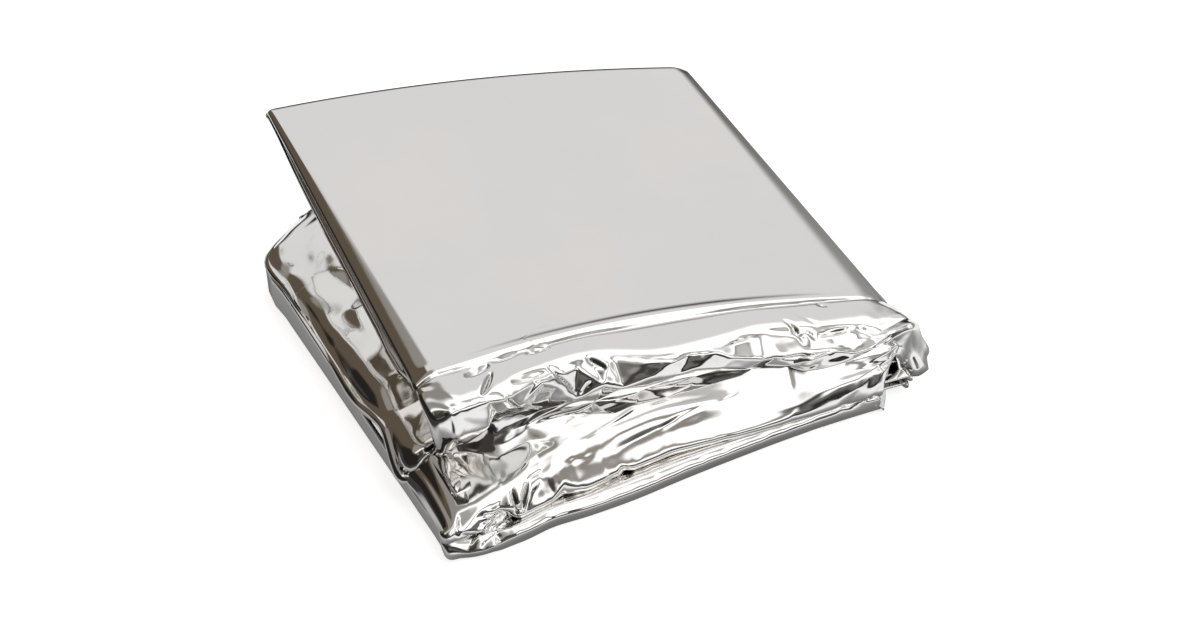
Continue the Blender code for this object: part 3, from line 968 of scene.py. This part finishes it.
coarse_x = film_x[coarse_columns]
top_panel = inner_film[:, coarse_columns]
from_top = inner_places - row_place[top_panel_row]
run = row_place[top_panel_end] - row_place[top_panel_row]
on_top = smooth(from_top / TOP_FADE_FRONT) * smooth((run - from_top) / TOP_FADE_BACK)
top_strength = on_top[:, None] * np.interp(coarse_x, TOP_STATIONS, TOP_STRENGTH)[None, :]
top_relief = top_strength * facet_fields(TOP_FACETS, coarse_x, from_top)
inner_film[:, coarse_columns] = top_panel + normals(top_panel) * top_relief[:, :, None]
print("wedge crumples, mm: from", top_relief.min().round(2), "to", top_relief.max().round(2))

# %% [markdown]
# ## The film on its solid
# Every grid moves half a ply outwards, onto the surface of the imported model. A Solidify modifier
# would double the faces for an inner side that nobody sees. Instead the rims at both sides are
# turned under, so the edges look thick and the sheet stays one layer.

# %% Lay the film half a ply outside
RIM_LOOK_BACK = DROP_STEPS + CORNER_STEPS // 2    # columns over which a rim reads its way back
RIM_SHAPE = (
    # how far each rim column sinks under the edge, and how far it slips back, mm
    (0.12, -0.06),
    (0.88, -0.06),
    (1.0, 1.2),
)


def lay_outside(grid):
    """The grid moved out by half a ply, its rims turned under, and nothing below the table."""
    last = grid.shape[1] - 1
    body = slice(RIM_STEPS, last + 1 - RIM_STEPS)
    out = normals(grid[:, body])
    grid = grid.copy()
    grid[:, body] += out * HALF_PLY
    for edge, step, face in ((RIM_STEPS, 1, out[:, 0]), (last - RIM_STEPS, -1, out[:, -1])):
        inward = grid[:, edge + RIM_LOOK_BACK * step] - grid[:, edge]
        inward /= np.maximum(np.linalg.norm(inward, axis=1, keepdims=True), NOTHING)
        for k, (sink, slip) in enumerate(RIM_SHAPE, start=1):
            grid[:, edge - k * step] = grid[:, edge] - face * sink + inward * slip
    grid[:, :, 2] = np.maximum(grid[:, :, 2], 0.0)
    return grid


film, bottom_film, inner_film = (lay_outside(grid) for grid in (film, bottom_film, inner_film))
print("film from", film.min(axis=(0, 1)).round(1), "to", film.max(axis=(0, 1)).round(1))

# %% [markdown]
# ## One mesh
# The fine grid is joined to the coarse ones along single rows. There a coarse face takes three
# fine edges, so the surface has no gap. Three objects laid edge to edge would show a seam, because
# each would be shaded by its own normals.

# %% Build the mesh
def make_film(name, fine, low, inner):
    """One mesh of the fine grid, the bottom panel's grid and the inner panels' grid."""
    grids = (fine, low[:-1, coarse_columns], inner[1:, coarse_columns])
    middle = np.array((*FOOTPRINT_MIDDLE, 0.0))
    points = (np.concatenate([grid.reshape(-1, 3) for grid in grids]) - middle) * MM
    numbers, faces = [], []
    start = 0
    for grid in grids:
        count, width = grid.shape[:2]
        number = start + np.arange(count * width).reshape(count, width)
        corners = (number[:-1, :-1], number[:-1, 1:], number[1:, 1:], number[1:, :-1])
        faces += np.stack(corners, axis=-1).reshape(-1, 4).tolist()
        numbers.append(number)
        start += count * width

    def join(fine_row, coarse_row, fine_above):
        """Faces between a fine row and a coarse one, each with one coarse and three fine edges."""
        for c, (left, right) in enumerate(zip(coarse_columns[:-1], coarse_columns[1:])):
            edge, far = fine_row[left:right + 1].tolist(), coarse_row[c:c + 2].tolist()
            faces.append(far + edge[::-1] if fine_above else edge + far[::-1])

    fine_numbers, low_numbers, inner_numbers = numbers
    join(fine_numbers[0], low_numbers[-1], True)
    join(fine_numbers[-1], inner_numbers[0], False)

    mesh = bpy.data.meshes.new(name)
    mesh.from_pydata(points.tolist(), [], faces)
    mesh.shade_smooth()
    piece = bpy.data.objects.new(name, mesh)
    bpy.context.scene.collection.objects.link(piece)
    return piece


foil = make_film("foil_film", film, bottom_film, inner_film)
foil.data.calc_loop_triangles()
print("triangles:", len(foil.data.loop_triangles))

# %% [markdown]
# ## Nodes in a few words
# A finish is a tree of nodes. Written out in Python one node takes several lines, and the thought
# behind the tree gets lost. So four short helpers make every node of the film, the surroundings
# and the table: any node at all, a sum, a change of range and a mix of two colours.

# %% Helpers for node trees
MIX_FIRST, MIX_SECOND, MIX_RESULT = 6, 7, 2     # the colour sockets of a Mix node


def add_node(tree, kind, inputs, **settings):
    """A new node. Each input is set to a value, or linked where it is another node's output."""
    node = tree.nodes.new("ShaderNode" + kind)
    for name, value in settings.items():
        setattr(node, name, value)
    for socket, value in inputs.items():
        if isinstance(value, bpy.types.NodeSocket):
            tree.links.new(value, node.inputs[socket])
        else:
            node.inputs[socket].default_value = value
    return node


def calculate(tree, operation, *values):
    return add_node(tree, "Math", dict(enumerate(values)), operation=operation).outputs[0]


def map_range(tree, source, low, high, to_low=0.0, to_high=1.0, kind="LINEAR"):
    """The source, with low to high stretched to to_low to to_high."""
    inputs = {"Value": source, "From Min": low, "From Max": high}
    inputs.update({"To Min": to_low, "To Max": to_high})
    return add_node(tree, "MapRange", inputs, interpolation_type=kind).outputs["Result"]


def mix_colours(tree, share, first, second, kind="MIX"):
    """The first colour at share 0, the second at share 1. Each is a colour or an output."""
    first, second = ((*c, 1.0) if isinstance(c, tuple) else c for c in (first, second))
    inputs = {"Factor": share, MIX_FIRST: first, MIX_SECOND: second}
    return add_node(tree, "Mix", inputs, data_type="RGBA", blend_type=kind).outputs[MIX_RESULT]


# %% [markdown]
# ## Metallised film
# The coat is aluminium a few hundredths of a micrometre thick on a glassy film, so it is nearly a
# mirror, and what gives it its look is what it reflects. An even metal would look like chrome
# plate. So its tint, its gloss and its finest waves change a little from place to place, all by
# noise that is fixed to the object.

# %% The film's finish
# each scale says how many patches of noise there are to a metre
COAT_WARM, COAT_COOL = (0.845, 0.825, 0.805), (0.815, 0.815, 0.800)
COAT_SCALE, COAT_RANGE = 22.0, (0.35, 0.65)
BRIGHT, DULLED = 0.05, 0.13                          # roughness
HANDLED_SCALE, HANDLED_RANGE = 90.0, (0.40, 0.70)
WAVE_HEIGHT, WAVE_SCALE = 0.000005, 420.0            # fine waves of the film, m
OLD_CREASE_HEIGHT, OLD_CREASE_SCALE = 0.00003, 34.0  # faint old creases, m
OLD_CREASE_STRETCH = (0.25, 1.5, 1.0)                # they run across the packet
OLD_CREASE_WIDTH = 0.006                             # as a share of the noise's range
OLD_PATCH_SCALE, OLD_PATCH_RANGE = 44.0, (0.64, 0.72)    # and they show in a few patches only


def foil_finish():
    material = bpy.data.materials.new("metallised_film")
    material.use_nodes = True
    tree = material.node_tree
    shader = tree.nodes["Principled BSDF"]
    shader.inputs["Metallic"].default_value = 1.0
    place = add_node(tree, "TexCoord", {}).outputs["Object"]

    def noise(scale, detail, stretch=(1, 1, 1)):
        spot = add_node(tree, "Mapping", {"Vector": place, "Scale": stretch}).outputs["Vector"]
        inputs = {"Vector": spot, "Scale": scale, "Detail": detail}
        return add_node(tree, "TexNoise", inputs).outputs["Fac"]

    # the coat is a little warmer in some places and cooler in others
    cooler = map_range(tree, noise(COAT_SCALE, detail=3.0), *COAT_RANGE)
    tree.links.new(mix_colours(tree, cooler, COAT_WARM, COAT_COOL), shader.inputs["Base Color"])

    # handling leaves it bright in some places and slightly dulled in others
    dulled = map_range(tree, noise(HANDLED_SCALE, detail=5.0), *HANDLED_RANGE, BRIGHT, DULLED)
    tree.links.new(dulled, shader.inputs["Roughness"])

    # old creases lie where a stretched noise crosses its middle, over the fine waves
    stretched = noise(OLD_CREASE_SCALE, detail=3.0, stretch=OLD_CREASE_STRETCH)
    from_middle = map_range(tree, stretched, 0.0, 1.0, -0.5, 0.5)
    from_middle = calculate(tree, "ABSOLUTE", from_middle)
    line = map_range(tree, from_middle, 0.0, OLD_CREASE_WIDTH, 1.0, 0.0)
    patch = map_range(tree, noise(OLD_PATCH_SCALE, detail=1.0), *OLD_PATCH_RANGE)
    creases = calculate(tree, "MULTIPLY", line, patch)
    waves = {"Height": noise(WAVE_SCALE, detail=4.0), "Distance": WAVE_HEIGHT}
    waves = add_node(tree, "Bump", waves).outputs["Normal"]
    relief = {"Height": creases, "Distance": OLD_CREASE_HEIGHT, "Normal": waves}
    tree.links.new(add_node(tree, "Bump", relief).outputs["Normal"], shader.inputs["Normal"])
    return material


foil.data.materials.append(foil_finish())
print("finish:", foil.data.materials[0].name)

# %% [markdown]
# ## What stands around it
# A mirror needs surroundings. Lamps would show as the same spot in every facet, and a picture of a
# room would tie the film to an image. So the room is a soft white tent, open to a dark studio at
# the left and low down. It is built from a few soft ramps by direction, and the film shows white,
# pale grey, brown and black at once. The ramps run between values of x, y or z of a direction of
# length 1: x to the right, y to the back, z up.

# %% Surroundings
WHITE = (1.5, 1.5, 1.5)                # the lit cloth
GREY = (0.80, 0.79, 0.793)             # the back wall, less lit
SHADED_ROOF = (0.30, 0.285, 0.265)
RIGHT_WALL = (0.34, 0.33, 0.32)
FRONT_MIDDLE = (0.42, 0.41, 0.395)
FRONT_RIGHT = (0.50, 0.49, 0.48)
SEAM, FAINT_SEAM = (0.30, 0.28, 0.26), (0.60, 0.59, 0.58)
LOW_LEFT, LOW_MIDDLE = (0.06, 0.055, 0.05), (0.10, 0.095, 0.09)
OPENING, OPENING_AXIS = (0.05, 0.045, 0.04), (-0.386, -0.706, 0.593)
BROWN = (0.115, 0.091, 0.065)          # the studio beyond the open side
DARK = (0.02, 0.018, 0.016)


def tent_light():
    world = bpy.data.worlds.new("studio_tent")
    bpy.context.scene.world = world
    world.use_nodes = True
    tree = world.node_tree
    direction = add_node(tree, "TexCoord", {}).outputs["Generated"]
    x, y, z = add_node(tree, "SeparateXYZ", {0: direction}).outputs

    def ramp(source, start, end):
        """Softly from 0 at start to 1 at end."""
        return map_range(tree, source, start, end, kind="SMOOTHSTEP")

    def both(a, b):
        return calculate(tree, "MULTIPLY", a, b)

    def mix(share, first, second):
        return mix_colours(tree, share, first, second)

    def along(axis):
        """How far a direction points along an axis, from -1 to 1."""
        inputs = {0: direction, 1: Vector(axis).normalized()}
        return add_node(tree, "VectorMath", inputs, operation="DOT_PRODUCT").outputs["Value"]

    def stripe(axis, centre, half_width, soft):
        """1 in a narrow band of directions, by how far they point along an axis."""
        place = along(axis)
        rise = ramp(place, centre - half_width - soft, centre - half_width)
        fall = ramp(place, centre + half_width + soft, centre + half_width)
        return both(rise, fall)

    # the back wall is grey over a dark foot, and the cloth overhead and at the sides is white
    colour = mix(ramp(z, 0.08, 0.42), DARK, GREY)
    colour = mix(both(ramp(y, 0.39, 0.25), ramp(z, 0.10, 0.30)), colour, WHITE)
    overhead = both(both(ramp(x, 0.28, 0.12), ramp(z, 0.67, 0.76)), ramp(y, 0.08, 0.24))
    colour = mix(overhead, colour, SHADED_ROOF)
    colour = mix(ramp(x, 0.64, 0.86), colour, RIGHT_WALL)

    # the front wall gets darker to the left, and has two seams and a dark foot
    front = mix(ramp(x, 0.16, -0.04), WHITE, FRONT_MIDDLE)
    front = mix(ramp(x, -0.10, -0.30), front, BROWN)
    front = mix(ramp(x, -0.38, -0.50), front, DARK)
    front = mix(stripe((0, -0.55, 1), 0.80, 0.02, 0.05), front, SEAM)
    front = mix(stripe((1, 0.45, 0), 0.34, 0.03, 0.08), front, FAINT_SEAM)
    front = mix(ramp(x, 0.70, 0.86), front, FRONT_RIGHT)
    front = mix(both(ramp(z, 0.52, 0.40), ramp(x, 0.24, 0.14)), front, LOW_LEFT)
    front = mix(both(ramp(z, 0.28, 0.20), ramp(x, 0.62, 0.54)), front, LOW_MIDDLE)
    colour = mix(both(ramp(y, 0.1, -0.1), ramp(z, 0.02, 0.22)), colour, front)

    # at the left the tent is open to the brown studio, which is dark further out
    left = both(both(ramp(x, 0.06, -0.02), ramp(z, 0.76, 0.70)), ramp(y, -0.35, -0.2))
    colour = mix(left, colour, BROWN)
    colour = mix(both(ramp(x, -0.48, -0.58), ramp(z, 0.72, 0.60)), colour, DARK)

    # and at the front left the cloth has a round opening
    colour = mix(ramp(along(OPENING_AXIS), 0.945, 0.98), colour, OPENING)
    background = tree.nodes["Background"]
    background.inputs["Strength"].default_value = 1.0
    tree.links.new(colour, background.inputs["Color"])
    return world


world = tent_light()
print("surroundings:", len(world.node_tree.nodes), "nodes")

# %% [markdown]
# ## Floor
# The packet lies on a plain pale table. For light that has met the film, the table glows with
# painted shade and light instead: a painted shadow, dim close to the packet, painted light a few
# centimetres away, and painted dark farther out and to the left. Those painted tones give the low
# bands of the film their greys. They depend on the place on the table alone. Seen directly, the
# table is one pale tone with a soft shadow.

# %% Floor
FOOTPRINT_HALF = (0.0655, 0.0715)   # half size of the packet on the table, m
TABLE_HALF = 4.0                    # half size of the table, m
# painted shadow and light on the table, which only light that has met the film sees
PAINTED_TABLE_SHADE_AND_LIGHT = (
    # distance from the packet, m, and how light the table's painted glow is there
    (0.000, 0.15),
    (0.014, 0.36),
    (0.036, 1.00),
    (0.200, 0.90),
    (0.300, 0.04),
)
# painted shade: the table's glow gets dark to the left between these x
PAINTED_LEFT_SHADE_SPAN = (-0.105, -0.082)       # the table gets dark to the left between these
PAINTED_LEFT_SHADE_TONE = 0.03
TABLE_ROUGHNESS = 0.9
TABLE_COLOUR, TABLE_GLOW = (0.9, 0.9, 0.9), (0.75, 0.75, 0.75)   # as seen directly
BLACK = (0.0, 0.0, 0.0)


def floor_with_painted_shade():
    material = bpy.data.materials.new("pale_floor_with_painted_shade")
    material.use_nodes = True
    tree = material.node_tree
    shader = tree.nodes["Principled BSDF"]
    shader.inputs["Roughness"].default_value = TABLE_ROUGHNESS
    shader.inputs["Emission Strength"].default_value = 1.0

    # how far a spot lies from the packet, as a share of the farthest tone
    spot = add_node(tree, "NewGeometry", {}).outputs["Position"]
    places = add_node(tree, "SeparateXYZ", {0: spot}).outputs
    gaps = [
        calculate(tree, "SUBTRACT", calculate(tree, "ABSOLUTE", place), half)
        for place, half in zip(places, FOOTPRINT_HALF)
    ]
    reach = PAINTED_TABLE_SHADE_AND_LIGHT[-1][0]
    share = calculate(tree, "DIVIDE", calculate(tree, "MAXIMUM", *gaps), reach)

    # the painted shadow and light by that distance, with painted shade on the left side
    painted_tones = add_node(tree, "ValToRGB", {"Fac": share})
    elements = painted_tones.color_ramp.elements
    for k, (distance, tone) in enumerate(PAINTED_TABLE_SHADE_AND_LIGHT):
        element = elements[k] if k < 2 else elements.new(distance / reach)
        element.position = distance / reach
        element.color = (tone, tone, tone, 1.0)
    side = map_range(tree, places["X"], *PAINTED_LEFT_SHADE_SPAN, PAINTED_LEFT_SHADE_TONE, 1.0, "SMOOTHSTEP")
    painted_light_and_shade = mix_colours(tree, 1.0, painted_tones.outputs["Color"], side, "MULTIPLY")

    # light that has met the film sees the painted shadow and light, and the table seen directly is
    # even
    direct = add_node(tree, "LightPath", {}).outputs["Is Camera Ray"]
    colour = mix_colours(tree, direct, BLACK, TABLE_COLOUR)
    glow = mix_colours(tree, direct, painted_light_and_shade, TABLE_GLOW)
    tree.links.new(colour, shader.inputs["Base Color"])
    tree.links.new(glow, shader.inputs["Emission Color"])
    return material


def make_floor():
    h = TABLE_HALF
    mesh = bpy.data.meshes.new("floor")
    mesh.from_pydata([(-h, -h, 0), (h, -h, 0), (h, h, 0), (-h, h, 0)], [], [(0, 1, 2, 3)])
    mesh.materials.append(floor_with_painted_shade())
    floor = bpy.data.objects.new("floor", mesh)
    bpy.context.scene.collection.objects.link(floor)
    return floor


floor = make_floor()
print("table tones:", len(PAINTED_TABLE_SHADE_AND_LIGHT))

# %% [markdown]
# ## Camera
# The camera stands above the front left corner, a little less than half a metre away, and looks
# down by 36 degrees. From there the leaf, the open wedge and the crumpled front all show.

# %% Camera
CAMERA_PLACE = (-0.1834, -0.3495, 0.2920)     # m
CAMERA_TILT, CAMERA_TURN = 36.4, -28.66       # degrees down, and about the vertical
SENSOR_WIDTH, FOCAL_LENGTH = 36.0, 54.0       # mm
CLIP_START = 0.01                             # m

camera_data = bpy.data.cameras.new("camera")
camera_data.sensor_width = SENSOR_WIDTH
camera_data.lens = FOCAL_LENGTH
camera_data.clip_start = CLIP_START
camera = bpy.data.objects.new("camera", camera_data)
camera.location = CAMERA_PLACE
camera.rotation_euler = (math.radians(90 - CAMERA_TILT), 0.0, math.radians(CAMERA_TURN))
bpy.context.scene.collection.objects.link(camera)
bpy.context.scene.camera = camera
bpy.context.scene.view_settings.view_transform = "Standard"
print("camera, m from the packet:", round(camera.location.length, 2))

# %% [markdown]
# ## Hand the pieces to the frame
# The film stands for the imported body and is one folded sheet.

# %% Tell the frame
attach(foil, "root")
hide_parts("foil_blanket")
